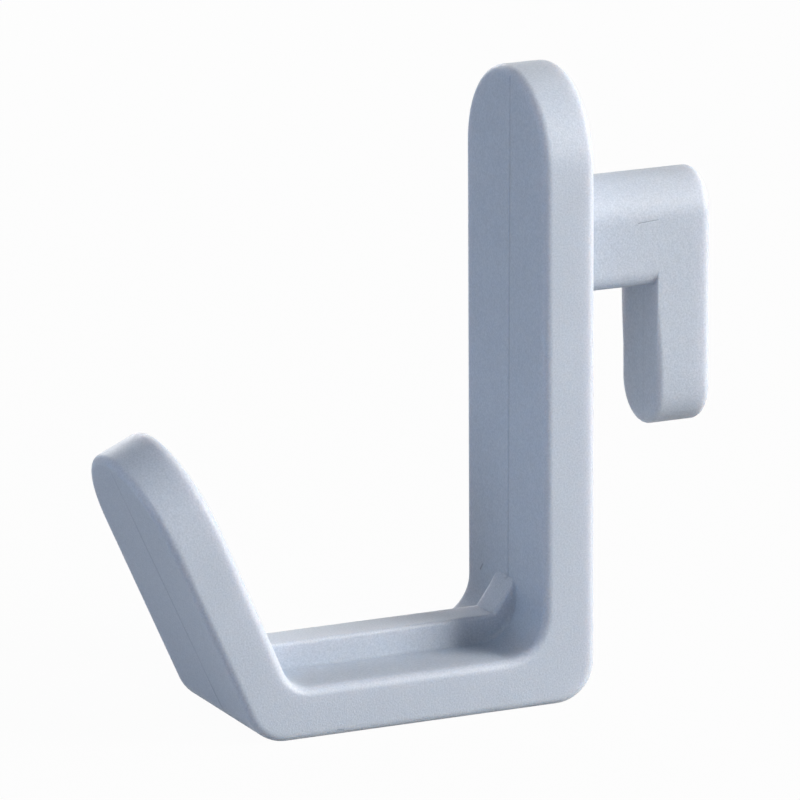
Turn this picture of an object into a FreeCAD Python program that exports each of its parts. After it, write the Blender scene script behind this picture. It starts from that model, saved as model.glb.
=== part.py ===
import FreeCAD, Part
import math
import os
from FreeCAD import Vector

# Hook for a slotted pegboard: one moulded piece, an upright plate that lies on
# the board, a flat arm under it, a front arm that leans outward, a rib in the
# cradle and a peg that drops behind the board. Sizes are in millimetres.
# +Z is up, +Y points into the board, X is the width. The origin is on the
# face that lies on the board, in the middle of the peg's neck.

# plates of the hook
width = 10.0
upright_thickness = 3.05
upright_height = 34.75
floor_thickness = 2.85
front_arm_thickness = 3.05
front_arm_length = 16.95
front_arm_lean_deg = 24.0
front_arm_inner_lean_deg = 23.4
underside_length = 20.0

# roundings seen from the side
outer_back_radius = 2.25
outer_front_radius = 2.4
inner_back_radius = 2.3
inner_front_radius = 1.7

# rounding of the long edges
edge_radius = 0.45

# rib along the cradle and the web that carries it up the upright
rib_width = 2.25
rib_height = 1.55
rib_edge_radius = 0.2
web_run = 1.3
web_rise = 1.75
rib_front_radius = 1.9

# peg: neck through the slot and tongue behind the board
peg_width = 4.55
peg_top_height = 28.15
neck_height = 6.1
neck_lower_radius = 1.0
board_gap = 5.15
tongue_thickness = 3.25
tongue_height = 14.25
tongue_front_radius = 0.35
tongue_back_radius = 0.45

half_width = width / 2.0
peg_half = peg_width / 2.0
neck_underside_height = peg_top_height - neck_height
tongue_foot_height = peg_top_height - tongue_height
lean = math.radians(front_arm_lean_deg)
up_arm = Vector(0, -math.sin(lean), math.cos(lean))
into_arm = Vector(0, math.cos(lean), math.sin(lean))
front_foot = Vector(0, -underside_length, 0)
tip_outer = front_foot + up_arm * front_arm_length
tip_inner = tip_outer + into_arm * front_arm_thickness
margin = 1.0


def inner_face_y(z):
    """Y of the front arm's inner face at height z: a line down from the tip."""
    return tip_inner.y + (tip_inner.z - z) * math.tan(math.radians(front_arm_inner_lean_deg))


def prism(points, x0, length):
    """Solid from a closed line of (y, z) corners, pushed along X."""
    corners = [Vector(x0, y, z) for y, z in points]
    wire = Part.makePolygon(corners + [corners[0]])
    return Part.Face(wire).extrude(Vector(length, 0, 0))


def edges_at(shape, y, z, tolerance=0.02):
    """Edges that run along X through the point (y, z)."""
    found = []
    for edge in shape.Edges:
        ends = [v.Point for v in edge.Vertexes]
        if len(ends) != 2:
            continue
        if abs(ends[0].x - ends[1].x) < 0.1:
            continue
        if all(abs(p.y - y) < tolerance and abs(p.z - z) < tolerance for p in ends):
            found.append(edge)
    return found


def arch_trim(top, depth):
    """Block over a plate's end, hollowed so that cutting it leaves a half-round end."""
    centre = top - half_width
    block = Part.makeBox(width + 2 * margin, depth + 2 * margin, half_width + margin,
                         Vector(-half_width - margin, -margin, centre))
    round_end = Part.makeCylinder(half_width, depth + 4 * margin,
                                  Vector(0, -2 * margin, centre), Vector(0, 1, 0))
    return block.cut(round_end)


def rounded_slab(half, z0, z1, low_radius, y0, depth):
    """Upright slab with a half-round top; low_radius rounds its two lower corners."""
    top_centre = z1 - half
    arc_mid = Vector(0, y0, z1)
    right = Vector(half, y0, top_centre)
    left = Vector(-half, y0, top_centre)
    parts = [Part.Arc(right, arc_mid, left).toShape()]
    k = low_radius * (1 - math.sqrt(0.5))
    low_left = Vector(-half, y0, z0 + low_radius)
    low_right = Vector(half, y0, z0 + low_radius)
    parts.append(Part.LineSegment(left, low_left).toShape())
    foot_left = Vector(-half + low_radius, y0, z0)
    foot_right = Vector(half - low_radius, y0, z0)
    if low_radius < half - 1e-6:
        parts.append(Part.Arc(low_left, Vector(-half + k, y0, z0 + k), foot_left).toShape())
        parts.append(Part.LineSegment(foot_left, foot_right).toShape())
        parts.append(Part.Arc(foot_right, Vector(half - k, y0, z0 + k), low_right).toShape())
    else:
        parts.append(Part.Arc(low_left, Vector(0, y0, z0), low_right).toShape())
    parts.append(Part.LineSegment(low_right, right).toShape())
    return Part.Face(Part.Wire(parts)).extrude(Vector(0, depth, 0))


# side view of the hook, pushed across the width
profile = [
    (0.0, upright_height),
    (0.0, 0.0),
    (-underside_length, 0.0),
    (tip_outer.y, tip_outer.z),
    (tip_inner.y, tip_inner.z),
    (inner_face_y(floor_thickness), floor_thickness),
    (-upright_thickness, floor_thickness),
    (-upright_thickness, upright_height),
]
hook = prism(profile, -half_width, width)

# roundings of the side view
hook = hook.makeFillet(outer_back_radius, edges_at(hook, 0.0, 0.0))
hook = hook.makeFillet(outer_front_radius, edges_at(hook, -underside_length, 0.0))
hook = hook.makeFillet(inner_back_radius, edges_at(hook, -upright_thickness, floor_thickness))
hook = hook.makeFillet(inner_front_radius,
                       edges_at(hook, inner_face_y(floor_thickness), floor_thickness))

# half-round ends of the upright and of the front arm
trim = arch_trim(upright_height, upright_thickness)
trim.translate(Vector(0, -upright_thickness, 0))
hook = hook.cut(trim)
trim = arch_trim(front_arm_length, front_arm_thickness)
trim.rotate(Vector(0, 0, 0), Vector(1, 0, 0), front_arm_lean_deg)
trim.translate(front_foot)
hook = hook.cut(trim)


def is_side(face):
    """True for the two flat sides and the half-round ends of the plates."""
    surface = face.Surface
    if surface.TypeId == "Part::GeomPlane":
        return abs(abs(surface.Axis.x) - 1.0) < 1e-6
    if surface.TypeId == "Part::GeomCylinder":
        return abs(surface.Radius - half_width) < 1e-6
    return False


# long edges all round both sides
long_edges = []
for edge in hook.Edges:
    faces = hook.ancestorsOfType(edge, Part.Face)
    if len(faces) == 2 and is_side(faces[0]) != is_side(faces[1]):
        long_edges.append(edge)
hook = hook.makeFillet(edge_radius, long_edges)

# rib on the cradle's floor, with the sloping web at the upright and a curve up the front arm
rib_top = floor_thickness + rib_height
sunk = 0.6
rib_profile = [
    (-upright_thickness + sunk, floor_thickness - sunk),
    (-upright_thickness + sunk, rib_top + web_rise),
    (-upright_thickness, rib_top + web_rise),
    (-upright_thickness - web_run, rib_top),
    (inner_face_y(rib_top), rib_top),
    (inner_face_y(rib_top + 2 * rib_front_radius), rib_top + 2 * rib_front_radius),
    (inner_face_y(rib_top + 2 * rib_front_radius) - sunk, rib_top + 2 * rib_front_radius),
    (inner_face_y(floor_thickness) - sunk, floor_thickness - sunk),
]
rib = prism(rib_profile, -rib_width / 2.0, rib_width)
rib = rib.makeFillet(rib_front_radius, edges_at(rib, inner_face_y(rib_top), rib_top))
rib_edges = []
for edge in rib.Edges:
    ends = [v.Point for v in edge.Vertexes]
    if abs(ends[0].x - ends[1].x) > 1e-6:
        continue
    middle = edge.valueAt((edge.FirstParameter + edge.LastParameter) / 2.0)
    on_top = middle.z > rib_top - 1e-3 and middle.y < -upright_thickness - 1e-3
    if on_top and middle.y > inner_face_y(middle.z) + 1e-3:
        rib_edges.append(edge)
rib = rib.makeFillet(rib_edge_radius, rib_edges)
hook = hook.fuse(rib)

# peg: tongue first, so that the neck covers its upper front edge
tongue = rounded_slab(peg_half, tongue_foot_height, peg_top_height, peg_half,
                      board_gap, tongue_thickness)
back_edges = [e for e in tongue.Edges
              if all(abs(v.Point.y - board_gap - tongue_thickness) < 1e-6 for v in e.Vertexes)]
tongue = tongue.makeFillet(tongue_back_radius, back_edges)
front_edges = [e for e in tongue.Edges
               if all(abs(v.Point.y - board_gap) < 1e-6 for v in e.Vertexes)]
tongue = tongue.makeFillet(tongue_front_radius, front_edges)
neck = rounded_slab(peg_half, neck_underside_height, peg_top_height, neck_lower_radius,
                    -sunk, sunk + board_gap + tongue_thickness / 2.0)
peg = tongue.fuse(neck).removeSplitter()
hook = hook.fuse(peg).removeSplitter()

# origin in the middle of the neck, on the face that lies on the board
hook.translate(Vector(0, 0, -(peg_top_height + neck_underside_height) / 2.0))

solid = hook.Solids[0]
print("solids", len(hook.Solids), "valid", solid.isValid(), "faces", len(solid.Faces))
print("volume", round(solid.Volume, 2), "box", solid.BoundBox)
os.makedirs("parts", exist_ok=True)
solid.exportStep("parts/hook.step")
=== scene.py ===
import math

import bmesh
import bpy
import numpy as np
from mathutils import Matrix, Vector


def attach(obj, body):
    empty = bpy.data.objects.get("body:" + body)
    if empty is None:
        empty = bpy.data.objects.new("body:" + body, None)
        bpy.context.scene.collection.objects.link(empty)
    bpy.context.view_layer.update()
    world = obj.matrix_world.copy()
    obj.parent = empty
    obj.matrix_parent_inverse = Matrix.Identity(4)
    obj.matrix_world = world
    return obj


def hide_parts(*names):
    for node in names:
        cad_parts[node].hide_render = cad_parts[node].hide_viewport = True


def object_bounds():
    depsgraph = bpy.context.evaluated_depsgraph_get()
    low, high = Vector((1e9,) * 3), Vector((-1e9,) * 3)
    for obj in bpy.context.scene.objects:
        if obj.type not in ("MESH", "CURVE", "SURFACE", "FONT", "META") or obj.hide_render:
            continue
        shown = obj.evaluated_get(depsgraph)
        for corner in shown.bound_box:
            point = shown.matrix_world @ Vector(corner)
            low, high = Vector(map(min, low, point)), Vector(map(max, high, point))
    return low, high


# Hook for a slotted pegboard: one piece of pale grey-blue moulded plastic.
# Sizes are in millimetres and heights are measured from the underside, unless a name says otherwise.
# MM turns a size into Blender's metres.
MM = 0.001

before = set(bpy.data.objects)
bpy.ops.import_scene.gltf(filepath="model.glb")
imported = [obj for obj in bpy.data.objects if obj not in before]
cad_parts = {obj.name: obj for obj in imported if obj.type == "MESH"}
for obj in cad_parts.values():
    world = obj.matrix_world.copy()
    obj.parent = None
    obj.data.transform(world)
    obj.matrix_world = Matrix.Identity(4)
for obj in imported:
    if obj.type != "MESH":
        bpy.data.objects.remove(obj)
cad_lo, cad_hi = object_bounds()

# plates
WIDTH = (cad_hi.x - cad_lo.x) / MM
HEIGHT = (cad_hi.z - cad_lo.z) / MM
UPRIGHT_THICK = 3.05
FLOOR_THICK = 2.85
ARM_THICK = 3.05
ARM_LENGTH = 16.95
ARM_LEAN = math.radians(24.0)
ARM_INNER_LEAN = math.radians(23.4)
UNDERSIDE = 20.0

# roundings of the plates
OUTER_BACK_R = 2.25
OUTER_FRONT_R = 2.4
INNER_BACK_R = 2.3
INNER_FRONT_R = 1.7
EDGE_R = 0.45

# rib along the cradle, with the web that carries it up the upright
RIB_WIDTH = 2.25
RIB_HEIGHT = 1.55
RIB_EDGE_R = 0.2
RIB_FOOT_R = 0.22
RIB_FRONT_R = 1.9
WEB_RUN = 1.3
WEB_RISE = 1.82
WEB_HEAD_R = 0.4

# peg: neck through the slot and tongue behind the board
PEG_WIDTH = 4.55
PEG_TOP = 28.15
NECK_HEIGHT = 6.1
NECK_LOW_R = 1.0
NECK_FOOT_R = 0.25
BOARD_GAP = 5.15
TONGUE_THICK = cad_hi.y / MM - BOARD_GAP
TONGUE_HEIGHT = 14.25
TONGUE_FRONT_R = 0.35
TONGUE_BACK_R = 0.45
TONGUE_INNER_R = 0.15

# window in the upright's back face that the peg grows from
WINDOW_HALF = 3.4
WINDOW_TOP = 29.2
WINDOW_LOW = 21.0

# worked out from the sizes above
HALF_WIDTH = WIDTH / 2
FLAT_HALF = HALF_WIDTH - EDGE_R
HALF_RIB = RIB_WIDTH / 2
RIB_TOP = FLOOR_THICK + RIB_HEIGHT
WEB_TOP = RIB_TOP + WEB_RISE
UPRIGHT_END = HEIGHT - HALF_WIDTH
ARM_END = ARM_LENGTH - HALF_WIDTH
ARM_FOOT = np.array([-UNDERSIDE, 0.0])
UP_ARM = np.array([-math.sin(ARM_LEAN), math.cos(ARM_LEAN)])
INTO_ARM = np.array([math.cos(ARM_LEAN), math.sin(ARM_LEAN)])
INNER_UP = np.array([-math.sin(ARM_INNER_LEAN), math.cos(ARM_INNER_LEAN)])
INNER_OUT = np.array([math.cos(ARM_INNER_LEAN), math.sin(ARM_INNER_LEAN)])
TIP_INNER = ARM_FOOT + ARM_LENGTH * UP_ARM + ARM_THICK * INTO_ARM

# rows of the plates' mesh: counts of steps for each stretch of the side view, and the stops where the
# steps get shorter: heights on the upright beside and above the web, and distances up the arm past the rib
WINDOW_ROWS = 28
TIP_ROWS = 28
UPRIGHT_ROWS = (2, WINDOW_ROWS, 22, 3, 8, 5)
CORNER_ROWS = (6, 8)
FLOOR_ROWS = 30
BEND_ROWS = 16
ARM_ROWS = (12, 14)
BESIDE_WEB = (5.0, 4.4, 3.6)
ABOVE_WEB = 7.0
PAST_RIB_OUTER = 4.6
PAST_RIB_INNER = 5.2

# columns of the plates' mesh: counts of steps, the width of the strip beside each edge arc, and places as
# shares of the floor beside the rib, of the rib's wall, of its top and of the plates' sides
WINDOW_COLUMNS = 24
EDGE_STEPS = 8
RIB_ARC_STEPS = 5
STRIP = 0.06
FLOOR_SHARES = np.array([1.0, 0.983, 0.75, 0.5, 0.3, 0.17, 0.1])
WALL_SHARES = np.array([0.12, 0.4, 0.7, 0.92])
TOP_SHARES = np.array([0.97, 0.8, 0.55, 0.28, 0.0])
SIDE_SHARES = np.array([0.025, 0.2, 0.4, 0.6, 0.8, 0.975])

# rings of the peg's mesh: places as shares of each stretch, closer beside a rounding, counts of steps for
# the roundings, and the share of the neck's underside on each side that opens out into a tongue's side
WINDOW_SHARES = (0.0, 0.3, 0.6, 0.85, 1.0)
NECK_SHARES = (0.03, 0.25, 0.5, 0.75, 0.97, 1.0)
FRONT_SHARES = (0.02, 0.15, 0.35, 0.6, 0.85, 0.98, 1.0)
TONGUE_SHARES = (0.03, 0.35, 0.65, 0.97, 1.0)
BACK_SHARES = (0.04, 0.35, 0.7, 1.0)
NECK_FOOT_STEPS = 5
TONGUE_INNER_STEPS = 4
TONGUE_FRONT_STEPS = 6
TONGUE_BACK_STEPS = 8
OPENING_SHARE = 0.2
OUTLINE_SAMPLES = 4001

# small limits: halvings that find the rib's height, the least height that counts, the most of it that an
# arc takes, how near a point counts as on a face, points that are joined, and edges that stay sharp
HALVINGS = 40
LEAST_RISE = 1e-4
ARC_SHARE = 0.45
ON_FACE = 0.01
WELD = 0.0005
SHARP_ANGLE = math.radians(32)

# finish of the plastic: colours, how far light travels in it for red, green and blue, its sheen, and the
# size, depth and contrast of its grain, its swell and its clouds
DARKER_PLASTIC = (0.395, 0.455, 0.545, 1)
LIGHTER_PLASTIC = (0.54, 0.595, 0.685, 1)
# colour that the parting line's dip and the marks are darkened towards: painted shade
PAINTED_SHADE_PLASTIC = (0.20, 0.24, 0.32, 1)
LIGHT_REACH = (1.6, 1.3, 1.15)
ROUGHNESS = 0.48
ROUGHNESS_SWELL = 0.12
GRAIN_SIZE = 0.1
GRAIN_DEPTH = 0.011
GRAIN_ROUGHNESS = 0.65
GRAIN_CONTRAST = 2.2
SWELL_DEPTH = 0.006
CLOUD_SIZE = 3.0
CLOUD_CONTRAST = 0.3

# line where the halves of the mould met: a fine ridge with a shallow dip beside it, and on the dip a
# darker colour that is painted shade, for the ridge's unlit flank. It is PARTING_X from the middle at the
# underside and leans away up the upright. On the front arm it starts at ARM_LINE_X at the tip and drifts
# by ARM_LINE_DRIFT down to the underside. It is wiped out on the rib, which runs RIB_END past the front
# of the underside, and in a band under the neck's top, and it is fainter on the rest of the peg
PARTING_X = 0.12
PARTING_SLOPE = 0.014
ARM_LINE_X = 0.3
ARM_LINE_DRIFT = 0.5
ARM_LINE_TOP = 15.5
ARM_LINE_RISE = 2.0
PARTING_HALF = 0.11
PARTING_HEIGHT = 0.03
PARTING_PAINTED_SHADE = 0.45
PARTING_GAPS = 2.0
PARTING_STRENGTH = 1.8
RIB_END = 1.2
NECK_TOP_BAND = 0.6
PEG_LINE_SHARE = 0.3

# small marks of use, sunk by MARK_DEPTH, whose colour is darkened as painted shade in their hollows: both
# ends and the half width; on the peg's side and the underside's edge as (y, z), on the upright's front as (x,
# z)
SCRATCH = ((3.9, 25.76), (5.1, 25.84), 0.035)
NICK = ((-15.55, 0.33), (-15.2, 0.3), 0.06)
DENT = ((-2.9, 6.1), (-3.2, 5.75), 0.1)
MARK_DEPTH = 0.02
MARK_PAINTED_SHADE = 0.85

# masks: how deep a face's mask reaches under it, and how fast a mask rises, per millimetre
SKIN = 0.1
MASK_RISE = 20

# viewpoint of the photograph, 800 by 800 pixels
IMAGE_PX = 800
FOCAL_PX = 8163.5
SENSOR = 36.0
VIEW_AZIMUTH_DEG = 64.966
VIEW_ELEVATION_DEG = 14.354
VIEW_ROLL_DEG = 0.303
VIEW_DISTANCE = 450.71
VIEW_LEFT = 8.513
VIEW_RISE = 15.324
NEAREST_SEEN = 10
FARTHEST_SEEN = 10000

# studio lights: name, azimuth and elevation in degrees, distance from the hook, side, watts, colour
LIGHTS = [
    ("key", 144.0, 20.0, 640.0, 260.0, 5.9, (1.04, 1.0, 0.95)),
    ("right", 80.0, 35.0, 320.0, 130.0, 0.12, (1.0, 1.0, 1.0)),
    ("front", 15.0, 12.0, 320.0, 130.0, 0.2, (0.8, 0.97, 1.24)),
    ("front_left", 335.0, 10.0, 320.0, 130.0, 0.13, (0.8, 0.97, 1.24)),
    ("back_left", 262.0, 14.0, 320.0, 130.0, 0.4, (1.0, 1.0, 1.0)),
    ("over_back", 185.0, 60.0, 320.0, 130.0, 0.12, (1.0, 1.0, 1.0)),
]
# the lights alone light the hook, so the world gives it none; the floor's paint is what it throws back,
# and its glow is how much of it is plain white to the camera, with the hook's shadow in the rest
WORLD_LIGHT = 0.0
FLOOR_PAINT = 0.4
FLOOR_GLOW = 0.97
FLOOR_HALF = 3000


def spread(stops, steps):
    """Numbers from the first stop to the last, with that many even steps from each stop to the next."""
    runs = [np.linspace(stops[i], stops[i + 1], count + 1)[1:] for i, count in enumerate(steps)]
    return np.concatenate([stops[:1]] + runs)


def quarter_turn(steps):
    """Angles from 0 to 90 degrees in even steps, in radians."""
    return np.radians(np.linspace(0, 90, steps + 1))


def direction(angle):
    """(cosine, sine) of each angle."""
    return np.stack([np.cos(angle), np.sin(angle)], axis=-1)


def points(y, z):
    """(y, z) points from two arrays or numbers."""
    return np.stack(np.broadcast_arrays(np.asarray(y, float), np.asarray(z, float)), axis=-1)


def arm_inner_y(z):
    """Y of the front arm's inner face at height z, a line down from the tip."""
    return TIP_INNER[0] + (TIP_INNER[1] - z) * math.tan(ARM_INNER_LEAN)


def on_arm(up, depth):
    """(y, z) points at distances up the arm's outer face and depths into the arm."""
    return ARM_FOOT + up[:, None] * UP_ARM + depth[:, None] * INTO_ARM


def arm_depth(up):
    """Thickness of the arm at a distance up its outer face: it shrinks evenly from the tip down."""
    return ARM_THICK - (ARM_LENGTH - up) * math.tan(ARM_LEAN - ARM_INNER_LEAN)


def stretch(outer, inner, outward, inward, end=0.0, way=(0.0, 1.0)):
    """Rows of the side view: points on both faces, their normals, the end's angle and its outline's way."""
    parts = [outer, inner, outward, inward, np.reshape(end, (-1, 1)), way]
    return np.hstack([np.broadcast_to(part, (len(outer), np.shape(part)[-1])) for part in parts])


def side_view():
    """Rows from the upright's top, down and round the cradle, to the arm's tip.

    Both faces are lines joined by arcs. An arc's point is its centre plus the radius times the normal.
    In a half-round end the angle goes from 90 degrees at the tip, where the width is nought, to 0."""
    tip = np.radians(np.linspace(90, 0, TIP_ROWS + 1))
    top_z = UPRIGHT_END + FLAT_HALF * np.sin(tip)
    rows = [stretch(points(0, top_z), points(-UPRIGHT_THICK, top_z), (1, 0), (-1, 0), tip)]

    window = (UPRIGHT_END, WINDOW_TOP, WINDOW_LOW)
    web = (ABOVE_WEB, WEB_TOP, WEB_TOP - WEB_HEAD_R, FLOOR_THICK + INNER_BACK_R)
    outer_z = spread(window + BESIDE_WEB + (OUTER_BACK_R,), UPRIGHT_ROWS)[1:]
    inner_z = spread(window + web, UPRIGHT_ROWS)[1:]
    rows.append(stretch(points(0, outer_z), points(-UPRIGHT_THICK, inner_z), (1, 0), (-1, 0)))

    crease = math.degrees(math.atan2(FLOOR_THICK + INNER_BACK_R - RIB_TOP, INNER_BACK_R - WEB_RUN))
    out = direction(-np.radians(spread((0, crease, 90), CORNER_ROWS)[1:]))
    outer_centre = points(-OUTER_BACK_R, OUTER_BACK_R)
    inner_centre = points(-UPRIGHT_THICK - INNER_BACK_R, FLOOR_THICK + INNER_BACK_R)
    rows.append(stretch(outer_centre + OUTER_BACK_R * out, inner_centre + INNER_BACK_R * out, out, -out))

    bend = math.pi / 2 - ARM_LEAN
    inner_bend = math.pi / 2 - ARM_INNER_LEAN
    outer_foot = OUTER_FRONT_R * math.tan(bend / 2)
    outer_start = -UNDERSIDE + outer_foot
    inner_start = arm_inner_y(FLOOR_THICK) + INNER_FRONT_R * math.tan(inner_bend / 2)
    outer_y = np.linspace(-OUTER_BACK_R, outer_start, FLOOR_ROWS + 1)[1:]
    inner_y = np.linspace(-UPRIGHT_THICK - INNER_BACK_R, inner_start, FLOOR_ROWS + 1)[1:]
    rows.append(stretch(points(outer_y, 0), points(inner_y, FLOOR_THICK), (0, -1), (0, 1)))

    share = np.linspace(0, 1, BEND_ROWS + 1)[1:]
    out = direction(-math.pi / 2 - share * bend)
    into = direction(math.pi / 2 - share * inner_bend)
    outer_centre = points(outer_start, OUTER_FRONT_R)
    inner_centre = points(inner_start, FLOOR_THICK + INNER_FRONT_R)
    rows.append(stretch(outer_centre + OUTER_FRONT_R * out, inner_centre - INNER_FRONT_R * into, out, into))

    inner_foot = (inner_centre - INNER_FRONT_R * INNER_OUT - ARM_FOOT) @ UP_ARM
    outer_up = spread((outer_foot, PAST_RIB_OUTER, ARM_END), ARM_ROWS)[1:]
    inner_up = spread((inner_foot, PAST_RIB_INNER, ARM_END), ARM_ROWS)[1:]
    rows.append(stretch(on_arm(outer_up, 0 * outer_up), on_arm(inner_up, arm_depth(inner_up)),
                        -INTO_ARM, INNER_OUT, way=UP_ARM))
    tip = tip[-2::-1]
    up = ARM_END + FLAT_HALF * np.sin(tip)
    rows.append(stretch(on_arm(up, 0 * up), on_arm(up, arm_depth(up)), -INTO_ARM, INNER_OUT, tip, UP_ARM))
    return np.vstack(rows)


def outside_rib(place):
    """Above nought where a (y, z) point is outside the rib's side view.

    The rib is under its flat top, under the web's slope and within the arm's inner face, with an arc
    of RIB_FRONT_R where the flat top runs up the arm."""
    y, z = place[..., 0], place[..., 1]
    slope = math.hypot(WEB_RUN, WEB_RISE)
    over_web = (WEB_RUN * (z - RIB_TOP) - WEB_RISE * (y + UPRIGHT_THICK + WEB_RUN)) / slope
    off_arm = (y - arm_inner_y(z)) * math.cos(ARM_INNER_LEAN)
    reach = RIB_FRONT_R * math.tan((math.pi / 2 - ARM_INNER_LEAN) / 2)
    away = place - (arm_inner_y(RIB_TOP) + reach, RIB_TOP + RIB_FRONT_R)
    in_corner = (away[..., 0] < 0) & (away @ INNER_UP < 0)
    over_floor = np.where(in_corner, RIB_FRONT_R - np.hypot(away[..., 0], away[..., 1]),
                          np.minimum(z - RIB_TOP, off_arm))
    return np.minimum(over_floor, over_web)


def rib_rise(foot, normal):
    """Height of the rib over points of the inner face, along their normals, found by halving a range."""
    low = np.zeros(len(foot))
    high = np.full(len(foot), 2 * RIB_HEIGHT)
    for _ in range(HALVINGS):
        middle = (low + high) / 2
        inside = outside_rib(foot + normal * middle[:, None]) < 0
        low = np.where(inside, middle, low)
        high = np.where(inside, high, middle)
    return np.where(low > LEAST_RISE, low, 0.0)


def rib_section(rise, half):
    """Half of the inner face's section, from its edge to the middle: x and height for each row.

    It is flat, then a hollow foot arc, the wall, a rounded upper edge and the flat top. The arcs
    shrink where the rib runs out."""
    foot = np.minimum(RIB_FOOT_R, ARC_SHARE * rise)[:, None]
    edge = np.minimum(RIB_EDGE_R, ARC_SHARE * rise)[:, None]
    rise, half = rise[:, None], half[:, None]
    quarter = quarter_turn(RIB_ARC_STEPS)
    x = [half + (FLAT_HALF - half) * FLOOR_SHARES, half + foot * (1 - np.sin(quarter)),
         half + 0 * WALL_SHARES, half - edge * (1 - np.cos(quarter)), (half - edge) * TOP_SHARES]
    up = [rise * 0 * FLOOR_SHARES, foot * (1 - np.cos(quarter)), foot + (rise - edge - foot) * WALL_SHARES,
          rise - edge * (1 - np.sin(quarter)), rise + 0 * TOP_SHARES]
    return np.hstack(x), np.hstack(up)


def plates():
    """Grid of the upright, floor and arm: one closed section carried along the side view.

    The section goes across the outer face, round an edge arc and over the side to the inner face with
    its rib, and back over the other side. An edge arc lies EDGE_R inside the two faces that it joins.
    In a half-round end the section is narrower by the cosine of the end's angle. Returns the grid and
    the x of the outer face's columns."""
    rows = side_view()
    outer, inner, outward, inward, _, way = np.split(rows, (2, 4, 6, 8, 9), axis=1)
    across, along = np.cos(rows[:, 8:9]), np.sin(rows[:, 8:9])
    face_x = spread((-FLAT_HALF, -FLAT_HALF + STRIP, -WINDOW_HALF, WINDOW_HALF, FLAT_HALF - STRIP, FLAT_HALF),
                    (1, 2, WINDOW_COLUMNS, 2, 1))
    quarter = quarter_turn(EDGE_STEPS)[1:]

    def place(x, yz):
        return np.concatenate([np.broadcast_to(x, yz.shape[:-1])[..., None], yz], axis=-1)

    def edge(base, normal, side):
        out = EDGE_R * np.sin(quarter)
        sunk = EDGE_R * (1 - np.cos(quarter))
        yz = base[:, None] - normal[:, None] * sunk[:, None] + way[:, None] * (along * out)[..., None]
        return place(side * across * (FLAT_HALF + out), yz)

    def flank(side):
        low, high = edge(outer, outward, side), edge(inner, inward, side)[:, ::-1]
        between = low[:, -1:] + (high[:, :1] - low[:, -1:]) * SIDE_SHARES[:, None]
        return np.hstack([low, between, high])

    rise = rib_rise(inner, inward)
    under_head = np.clip(WEB_TOP - inner[:, 1], 0, WEB_HEAD_R)
    head_half = HALF_RIB - WEB_HEAD_R + np.sqrt(WEB_HEAD_R ** 2 - (WEB_HEAD_R - under_head) ** 2)
    half = np.where(inner[:, 0] > -UPRIGHT_THICK - ON_FACE, head_half, HALF_RIB)
    x, up = rib_section(rise, half)
    x, up = np.hstack([x, -x[:, -2::-1]]), np.hstack([up, up[:, -2::-1]])
    back = place(face_x * across, np.repeat(outer[:, None], len(face_x), axis=1))
    cradle = place(x * across, inner[:, None] + inward[:, None] * up[..., None])
    return np.hstack([back, flank(1.0), cradle, flank(-1.0)[:, ::-1]]), face_x


def slot_outline(length, low, low_r):
    """Points (x, z), outward normals and the ends of the stretches of the peg's front view.

    Lengths are measured from the top round the right. The outline is a half circle of the peg's width
    on top, straight sides, and low_r round the two lower corners."""
    half = PEG_WIDTH / 2
    ends = np.cumsum([half * math.pi / 2, PEG_TOP - half - low - low_r, low_r * math.pi / 2, half - low_r])
    mirrored = length > ends[-1]
    s = np.where(mirrored, 2 * ends[-1] - length, length)
    where = [s <= ends[0], s <= ends[1], s <= ends[2], s > ends[2]]
    top, foot, none = s / half, (s - ends[1]) / low_r, 0 * s
    x = np.select(where, [half * np.sin(top), half + none,
                          half - low_r + low_r * np.cos(foot), ends[-1] - s])
    z = np.select(where, [PEG_TOP - half + half * np.cos(top), PEG_TOP - half - (s - ends[0]),
                          low + low_r - low_r * np.sin(foot), low + none])
    across = np.select(where, [np.sin(top), 1 + none, np.cos(foot), none])
    upward = np.select(where, [np.cos(top), none, -np.sin(foot), none - 1])
    side = np.where(mirrored, -1, 1)
    return np.stack([x * side, z], axis=-1), np.stack([across * side, upward], axis=-1), ends


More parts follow.
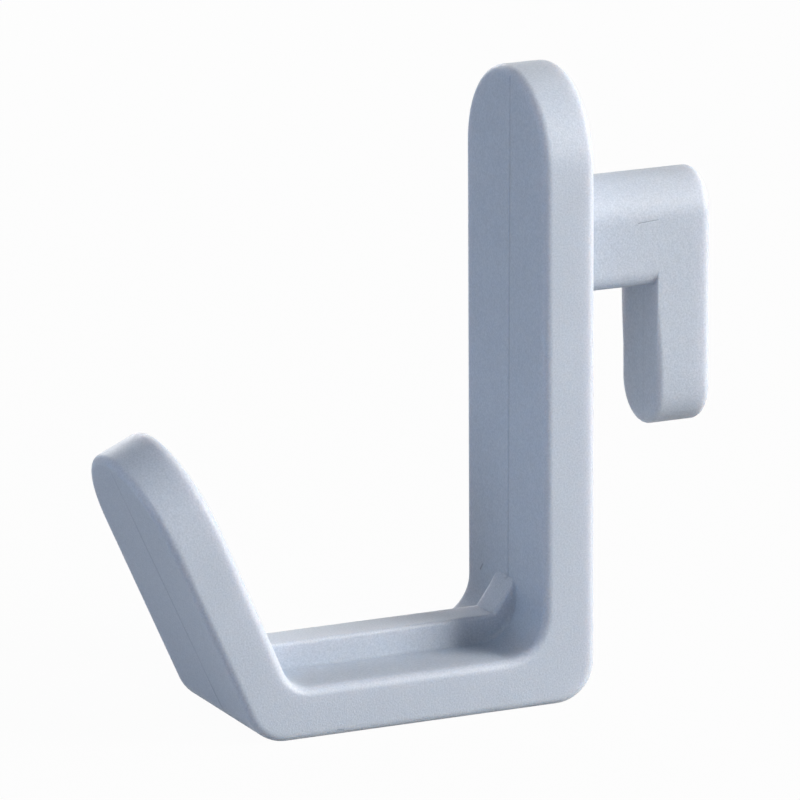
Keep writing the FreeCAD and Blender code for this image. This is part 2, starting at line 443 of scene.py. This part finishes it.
def peg(window):
    """Grid of the peg: rings from the window in the upright's back face out to the tongue's back.

    Each ring is an outline moved along its normals and put at its y, and each rounding is a quarter
    arc of such rings. The neck's lower half opens out into the tongue's longer one by its share of
    the length, and the last ring closes on the tongue's middle line."""
    half = PEG_WIDTH / 2
    neck_low, tongue_low = PEG_TOP - NECK_HEIGHT, PEG_TOP - TONGUE_HEIGHT
    middle = np.array([0.0, PEG_TOP - NECK_HEIGHT / 2])
    ends = slot_outline(np.zeros(1), neck_low, NECK_LOW_R)[2]
    long_ends = slot_outline(np.zeros(1), tongue_low, half)[2]
    lengths = np.linspace(0, 2 * ends[-1], OUTLINE_SAMPLES)

    def bearing(place):
        return np.unwrap(np.arctan2(place[:, 0] - middle[0], place[:, 1] - middle[1]))

    wanted = bearing(window)
    wanted = np.where(wanted < -1e-9, wanted + 2 * math.pi, wanted)
    length = np.interp(wanted, bearing(slot_outline(lengths, neck_low, NECK_LOW_R)[0]), lengths)
    neck, neck_out, _ = slot_outline(length, neck_low, NECK_LOW_R)

    share = (length - ends[1]) / (2 * (ends[-1] - ends[1]))
    stops = [ends[1], long_ends[1], 2 * long_ends[-1] - long_ends[1], 2 * long_ends[-1] - ends[1]]
    lower = np.interp(share, [0.0, OPENING_SHARE, 1 - OPENING_SHARE, 1.0], stops)
    after = length + 2 * (long_ends[-1] - ends[-1])
    tongue, tongue_out, _ = slot_outline(np.where(share < 0, length, np.where(share > 1, after, lower)),
                                         tongue_low, half)
    on_lower = (share > 0) & (share < 1)
    depth = np.where(on_lower, half - np.abs(neck[:, 0]), 0.0)
    front_r = np.minimum(TONGUE_FRONT_R, depth)[:, None]
    inner_r = np.minimum(TONGUE_INNER_R, (depth[:, None] - front_r) / 2)
    back = BOARD_GAP + TONGUE_THICK
    spine = points(0, np.clip(tongue[:, 1], tongue_low + half, PEG_TOP - half))
    rings = []

    def ring(xz, y):
        rings.append(np.stack([xz[:, 0], np.broadcast_to(np.ravel(y), len(xz)), xz[:, 1]], axis=-1))

    def shift(start, stop, shares, y_start, y_stop):
        for part in shares:
            ring(start + (stop - start) * part, y_start + (y_stop - y_start) * part)

    def rounding(base, normal, radius, y_start, hollow, steps):
        for angle in quarter_turn(steps)[1:]:
            sine, rest = math.sin(angle), 1 - math.cos(angle)
            out, on = (rest, sine) if hollow else (sine, rest)
            ring(base + normal * radius * out, y_start + radius * on)

    shift(window, neck + neck_out * NECK_FOOT_R, WINDOW_SHARES, 0.0, 0.0)
    for angle in quarter_turn(NECK_FOOT_STEPS)[1:]:
        ring(neck + neck_out * NECK_FOOT_R * (1 - math.sin(angle)), NECK_FOOT_R * (1 - math.cos(angle)))
    shift(neck, neck, NECK_SHARES, NECK_FOOT_R, BOARD_GAP - inner_r)
    rounding(neck, neck_out, inner_r, BOARD_GAP - inner_r, True, TONGUE_INNER_STEPS)
    shift(neck + neck_out * inner_r, tongue - tongue_out * front_r, FRONT_SHARES, BOARD_GAP, BOARD_GAP)
    rounding(tongue - tongue_out * front_r, tongue_out, front_r, BOARD_GAP, False, TONGUE_FRONT_STEPS)
    shift(tongue, tongue, TONGUE_SHARES, BOARD_GAP + front_r, back - TONGUE_BACK_R)
    rounding(tongue, -tongue_out, TONGUE_BACK_R, back - TONGUE_BACK_R, True, TONGUE_BACK_STEPS)
    shift(tongue - tongue_out * TONGUE_BACK_R, spine, BACK_SHARES, back, back)
    return np.stack(rings)


def looped_quads(grid, first=0):
    """Corner numbers of a grid's quads, where each row closes into a loop."""
    rows, columns = grid.shape[:2]
    i, j = np.meshgrid(np.arange(rows - 1), np.arange(columns), indexing="ij")
    k = (j + 1) % columns
    near, far = i * columns + first, (i + 1) * columns + first
    return np.stack([near + j, near + k, far + k, far + j], axis=-1)


def hook_body():
    """The hook as one closed mesh: the plates' grid, and the peg's grid sewn into its window."""
    grid, face_x = plates()
    top = int(np.argmin(abs(grid[:grid.shape[0] // 2, 0, 2] - WINDOW_TOP)))
    low = top + WINDOW_ROWS
    left = int(np.argmin(abs(face_x + WINDOW_HALF)))
    right = left + WINDOW_COLUMNS
    window = np.concatenate([grid[top, left:right], grid[top:low, right],
                             grid[low, right:left:-1], grid[low:top:-1, left]])
    rings = peg(window[:, [0, 2]])
    quads = looped_quads(grid)
    keep = np.ones(quads.shape[:2], bool)
    keep[top:low, left:right] = False
    corners = np.concatenate([grid.reshape(-1, 3), rings.reshape(-1, 3)]) * MM + (0, 0, cad_lo.z)
    faces = np.concatenate([quads[keep], looped_quads(rings, grid.shape[0] * grid.shape[1]).reshape(-1, 4)])
    used, faces = np.unique(faces, return_inverse=True)
    corners, faces = corners[used], faces.reshape(-1, 4)

    mesh = bpy.data.meshes.new("hook_body")
    mesh.from_pydata(corners.tolist(), [], faces.tolist())
    work = bmesh.new()
    work.from_mesh(mesh)
    bmesh.ops.remove_doubles(work, verts=work.verts, dist=WELD * MM)
    work.to_mesh(mesh)
    work.free()
    mesh.polygons.foreach_set("use_smooth", np.ones(len(mesh.polygons), bool))
    mesh.set_sharp_from_angle(angle=SHARP_ANGLE)
    piece = bpy.data.objects.new("hook_body", mesh)
    bpy.context.scene.collection.objects.link(piece)
    return piece


class Wire:
    """A node socket that can be added, multiplied and so on: each operator adds a Math node."""

    def __init__(self, board, socket):
        self.board = board
        self.socket = socket

    def maths(self, operation, *others):
        inputs = dict(enumerate((self,) + others))
        return self.board.node("ShaderNodeMath", {"operation": operation}, inputs)

    def __add__(self, other):
        return self.maths("ADD", other)

    __radd__ = __add__

    def __mul__(self, other):
        return self.maths("MULTIPLY", other)

    def __sub__(self, other):
        return self.maths("SUBTRACT", other)

    def __rsub__(self, other):
        return self.board.node("ShaderNodeMath", {"operation": "SUBTRACT"}, {0: other, 1: self})

    def __abs__(self):
        return self.maths("ABSOLUTE")

    def within(self):
        """The value, kept from 0 to 1."""
        return self.maths("MAXIMUM", 0.0).maths("MINIMUM", 1.0)

    def above(self, limit):
        """1 where the value is above a limit and 0 elsewhere, with a short ramp between."""
        return ((self - limit) * MASK_RISE).within()

    def below(self, limit):
        """1 where the value is below a limit and 0 elsewhere, with a short ramp between."""
        return ((limit - self) * MASK_RISE).within()


class Board:
    """The node tree of a material or of the world, cleared for new nodes."""

    def __init__(self, owner):
        owner.use_nodes = True
        self.tree = owner.node_tree
        self.tree.nodes.clear()

    def node(self, kind, settings=None, inputs=None, output=0):
        """Adds a node of that type, makes its settings, fills or links its inputs; returns one output."""
        made = self.tree.nodes.new(kind)
        for name, value in (settings or {}).items():
            setattr(made, name, value)
        for key, value in (inputs or {}).items():
            if isinstance(value, Wire):
                self.tree.links.new(value.socket, made.inputs[key])
            else:
                made.inputs[key].default_value = value
        return Wire(self, made.outputs[output]) if len(made.outputs) else None

    def split(self, vector):
        """The three parts of a vector."""
        first = self.node("ShaderNodeSeparateXYZ", {}, {0: vector})
        return [Wire(self, socket) for socket in first.socket.node.outputs]

    def noise(self, place, size, detail, roughness=0.5):
        """Cloudy noise from 0 to 1 whose patches are about size across."""
        return self.node("ShaderNodeTexNoise", {"noise_dimensions": "3D"},
                         {"Vector": place, "Scale": 1 / size, "Detail": detail, "Roughness": roughness})

    def blend(self, share, first, second):
        """Colour that goes from first to second as share goes from 0 to 1."""
        return self.node("ShaderNodeMix", {"data_type": "RGBA"}, {0: share, 6: first, 7: second}, output=2)

    def direct_view(self):
        """1 for rays from the camera and for reflected or refracted rays, 0 for light on the object."""
        path = self.node("ShaderNodeLightPath", output="Is Camera Ray").socket.node
        rays = [Wire(self, path.outputs[f"Is {kind} Ray"]) for kind in ("Camera", "Glossy", "Transmission")]
        return rays[0].maths("MAXIMUM", rays[1]).maths("MAXIMUM", rays[2])


def stroke(across, up, start, end, half_width):
    """1 on the middle of a straight mark between two points of a face, falling to 0 at its half width."""
    run, rise = end[0] - start[0], end[1] - start[1]
    length_squared = run * run + rise * rise
    right, over = across - start[0], up - start[1]
    share = ((right * run + over * rise) * (1 / length_squared)).within()
    away_x, away_y = right - share * run, over - share * rise
    away = (away_x * away_x + away_y * away_y).maths("SQRT")
    return (1 - away * (1 / half_width)).within()


def parting_line(b, x, y, z, place):
    """Ridge and groove, 0 to 1, of the fine line that the two halves of the mould leave down the middle.

    Each is a tent across the line. The line bends away down the front arm, and is wiped out on the rib
    and on the ends that face up."""
    arm = ((-UNDERSIDE - y) * ARM_LINE_RISE).within()
    drop = ((ARM_LINE_TOP - z) * (1 / ARM_LINE_TOP)).within()
    upright_line = z * PARTING_SLOPE + PARTING_X
    arm_line = drop * ARM_LINE_DRIFT + ARM_LINE_X
    away = x - (arm * arm_line + (1 - arm) * upright_line)

    on_rib = y.below(-UPRIGHT_THICK - SKIN) * y.above(-UNDERSIDE - RIB_END) * z.above(FLOOR_THICK - SKIN)
    on_top = z.above(HEIGHT - EDGE_R)
    on_peg = y.above(SKIN) * (1 - PEG_LINE_SHARE + z.above(PEG_TOP - NECK_TOP_BAND) * PEG_LINE_SHARE)
    up_arm = (y + UNDERSIDE) * UP_ARM[0] + z * UP_ARM[1]
    on_tip = arm * up_arm.above(ARM_LENGTH - EDGE_R)
    seen = (1 - on_rib) * (1 - on_top) * (1 - on_peg) * (1 - on_tip)
    seen = seen * (b.noise(place, PARTING_GAPS, 1.0) * PARTING_STRENGTH).within()
    ridge = (1 - abs(away + PARTING_HALF) * (1 / PARTING_HALF)).within()
    groove = (1 - abs(away - PARTING_HALF) * (1 / PARTING_HALF)).within()
    return ridge * seen, groove * seen


def hook_plastic():
    """Matte moulded plastic that lets a little light through, with a fine spark-eroded grain.

    Place is in millimetres from the back of the underside. The heights of the grain, the parting line
    and the marks add up, in millimetres, and go through one bump."""
    material = bpy.data.materials.new("hook_plastic")
    b = Board(material)
    place = b.node("ShaderNodeTexCoord", output="Object")
    place = b.node("ShaderNodeVectorMath", {"operation": "MULTIPLY_ADD"},
                   {0: place, 1: (1 / MM, 1 / MM, 1 / MM), 2: (0, 0, -cad_lo.z / MM)})
    x, y, z = b.split(place)

    pits = b.noise(place, GRAIN_SIZE, 2.0, GRAIN_ROUGHNESS)
    swell = b.noise(place, 4 * GRAIN_SIZE, 2.0)
    ridge, groove = parting_line(b, x, y, z, place)
    scratch = stroke(y, z, *SCRATCH) * x.above(PEG_WIDTH / 2 - SKIN)
    dent = stroke(x, z, *DENT) * y.above(-UPRIGHT_THICK - SKIN) * y.below(-UPRIGHT_THICK / 2)
    nick = stroke(y, z, *NICK) * x.above(FLAT_HALF - SKIN)
    marks = (scratch + dent + nick).within()
    height = pits * GRAIN_DEPTH + swell * SWELL_DEPTH
    height = height + (ridge - groove) * PARTING_HEIGHT - marks * MARK_DEPTH
    bump = b.node("ShaderNodeBump", {}, {"Height": height, "Strength": 1.0, "Distance": MM})

    cloud = b.noise(place, CLOUD_SIZE, 3.0)
    tone = ((cloud - 0.5) * CLOUD_CONTRAST + (pits - 0.5) * GRAIN_CONTRAST + 0.5).within()
    colour = b.blend(tone, DARKER_PLASTIC, LIGHTER_PLASTIC)
    # painted shade: the parting line's dip and the marks' hollows are darkened towards a shaded colour
    shade = (groove * PARTING_PAINTED_SHADE + marks * MARK_PAINTED_SHADE).within()
    colour = b.blend(shade, colour, PAINTED_SHADE_PLASTIC)
    shader = b.node("ShaderNodeBsdfPrincipled", {"subsurface_method": "RANDOM_WALK"}, {
        "Base Color": colour,
        "Roughness": ROUGHNESS + swell * ROUGHNESS_SWELL,
        "Subsurface Weight": 1.0,
        "Subsurface Radius": LIGHT_REACH,
        "Subsurface Scale": MM,
        "Normal": bump,
    })
    b.node("ShaderNodeOutputMaterial", {}, {"Surface": shader})
    return material


def axes(azimuth_deg, elevation_deg):
    """Right, up and back directions of a view from that azimuth and elevation."""
    a = math.radians(azimuth_deg)
    e = math.radians(elevation_deg)
    right = Vector((math.cos(a), math.sin(a), 0.0))
    up = Vector((-math.sin(e) * math.sin(a), math.sin(e) * math.cos(a), math.cos(e)))
    back = Vector((math.sin(a) * math.cos(e), -math.cos(a) * math.cos(e), math.sin(e)))
    return right, up, back


def photo_camera():
    """Camera at the photograph's viewpoint; its aim is measured from the back of the underside."""
    right, up, back = axes(VIEW_AZIMUTH_DEG, VIEW_ELEVATION_DEG)
    foot = Vector((0.0, 0.0, cad_lo.z))
    place = foot + MM * (VIEW_DISTANCE * back + VIEW_RISE * up - VIEW_LEFT * right)
    roll = math.radians(VIEW_ROLL_DEG)
    x_axis = math.cos(roll) * right - math.sin(roll) * up
    y_axis = math.sin(roll) * right + math.cos(roll) * up
    data = bpy.data.cameras.new("camera")
    data.sensor_width = SENSOR
    data.lens = FOCAL_PX / IMAGE_PX * SENSOR
    data.clip_start = NEAREST_SEEN * MM
    data.clip_end = FARTHEST_SEEN * MM
    camera = bpy.data.objects.new("camera", data)
    bpy.context.scene.collection.objects.link(camera)
    facing = Matrix((x_axis, y_axis, back)).transposed().to_4x4()
    camera.matrix_world = Matrix.Translation(place) @ facing
    bpy.context.scene.camera = camera


def soft_boxes():
    """Square soft lamps round the hook, each aimed at its middle."""
    centre = (cad_lo + cad_hi) / 2
    for name, azimuth, elevation, distance, side, watts, colour in LIGHTS:
        _, _, back = axes(azimuth, elevation)
        data = bpy.data.lights.new(name, "AREA")
        data.size = side * MM
        data.energy = watts
        data.color = colour
        lamp = bpy.data.objects.new(name, data)
        bpy.context.scene.collection.objects.link(lamp)
        lamp.location = centre + back * distance * MM
        lamp.rotation_mode = "QUATERNION"
        lamp.rotation_quaternion = (-back).to_track_quat("-Z", "Y")
        lamp.visible_camera = False


def white_world():
    """World that looks white to the camera and gives the hook WORLD_LIGHT."""
    world = bpy.data.worlds.new("studio")
    bpy.context.scene.world = world
    b = Board(world)
    seen = b.direct_view()
    dome = b.node("ShaderNodeBackground", {}, {"Color": (1, 1, 1, 1), "Strength": WORLD_LIGHT})
    white = b.node("ShaderNodeBackground", {}, {"Color": (1, 1, 1, 1), "Strength": 1.0})
    mixed = b.node("ShaderNodeMixShader", {}, {0: seen, 1: dome, 2: white})
    b.node("ShaderNodeOutputWorld", {}, {"Surface": mixed})


def white_floor():
    """Pale floor under the hook that looks nearly white to the camera and keeps the hook's shadow."""
    mesh = bpy.data.meshes.new("floor")
    half = FLOOR_HALF * MM
    z = cad_lo.z
    corners = [(-half, -half, z), (half, -half, z), (half, half, z), (-half, half, z)]
    mesh.from_pydata(corners, [], [(0, 1, 2, 3)])
    floor = bpy.data.objects.new("floor", mesh)
    bpy.context.scene.collection.objects.link(floor)
    material = bpy.data.materials.new("floor_white")
    b = Board(material)
    seen = b.direct_view()
    paint = b.node("ShaderNodeBsdfDiffuse", {}, {"Color": (FLOOR_PAINT, FLOOR_PAINT, FLOOR_PAINT, 1)})
    glow = b.node("ShaderNodeEmission", {}, {"Color": (1, 1, 1, 1), "Strength": 1.0})
    mixed = b.node("ShaderNodeMixShader", {}, {0: seen * FLOOR_GLOW, 1: paint, 2: glow})
    b.node("ShaderNodeOutputMaterial", {}, {"Surface": mixed})
    floor.data.materials.append(material)


hook = hook_body()
hook.data.materials.append(hook_plastic())
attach(hook, "root")
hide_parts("hook")

photo_camera()
soft_boxes()
white_world()
white_floor()
bpy.context.scene.view_settings.view_transform = "Standard"
